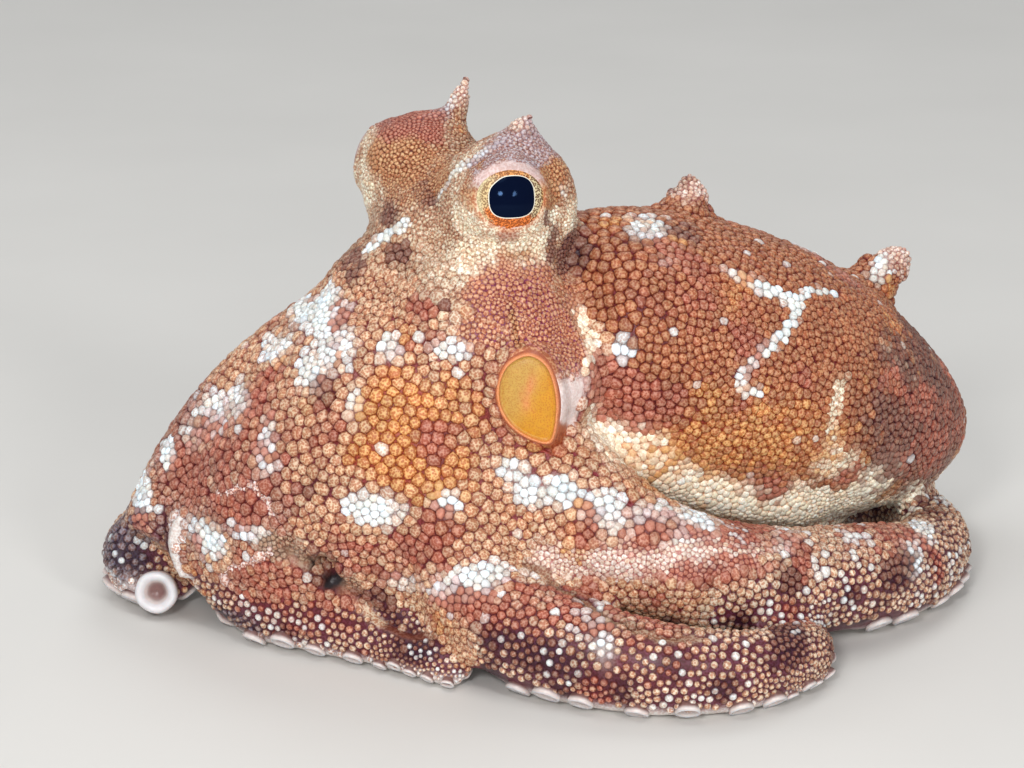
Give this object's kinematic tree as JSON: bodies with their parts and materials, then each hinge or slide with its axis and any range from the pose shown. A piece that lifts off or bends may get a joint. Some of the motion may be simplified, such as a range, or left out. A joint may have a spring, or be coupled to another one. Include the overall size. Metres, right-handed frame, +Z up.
{
  "type": "octopus",
  "caption": "Still life-size octopus at rest, head up and mantle behind, arms folded round its web on the floor.",
  "frame": {"origin": "on the floor, under the middle of the animal's bounding box", "axes": "+X from the head side towards the tip of the mantle, +Y from the animal's left side to its far side, +Z up"},
  "size_m": [0.1178, 0.1006, 0.0699],
  "materials": {
    "body_skin": "wet granular skin, rust with a maroon network and cream patches",
    "arm_skin": "wet skin, maroon with small pale warts and pale sucker rims",
    "funnel": "smooth translucent orange with a pale lilac wall",
    "eye": "clear wet gloss over a dark pupil and a gold iris"
  },
  "bodies": {
    "root": {"arm_left_1_inner": "arm_skin", "arm_left_1_middle": "arm_skin", "arm_left_1_tip": "arm_skin", "arm_left_2_inner": "arm_skin", "arm_left_2_middle": "arm_skin", "arm_left_2_tip": "arm_skin", "arm_left_3_inner": "arm_skin", "arm_left_3_middle": "arm_skin", "arm_left_3_tip": "arm_skin", "arm_left_4_inner": "arm_skin", "arm_left_4_middle": "arm_skin", "arm_left_4_tip": "arm_skin", "arm_right_1_inner": "arm_skin", "arm_right_1_middle": "arm_skin", "arm_right_1_tip": "arm_skin", "arm_right_2_inner": "arm_skin", "arm_right_2_middle": "arm_skin", "arm_right_2_tip": "arm_skin", "arm_right_3_inner": "arm_skin", "arm_right_3_middle": "arm_skin", "arm_right_3_tip": "arm_skin", "arm_right_4_inner": "arm_skin", "arm_right_4_middle": "arm_skin", "arm_right_4_tip": "arm_skin", "eye_left": "eye", "eye_right": "eye", "funnel": "funnel", "head": "body_skin", "mantle": "body_skin", "web_and_crown": "body_skin"}
  },
  "joints": []
}
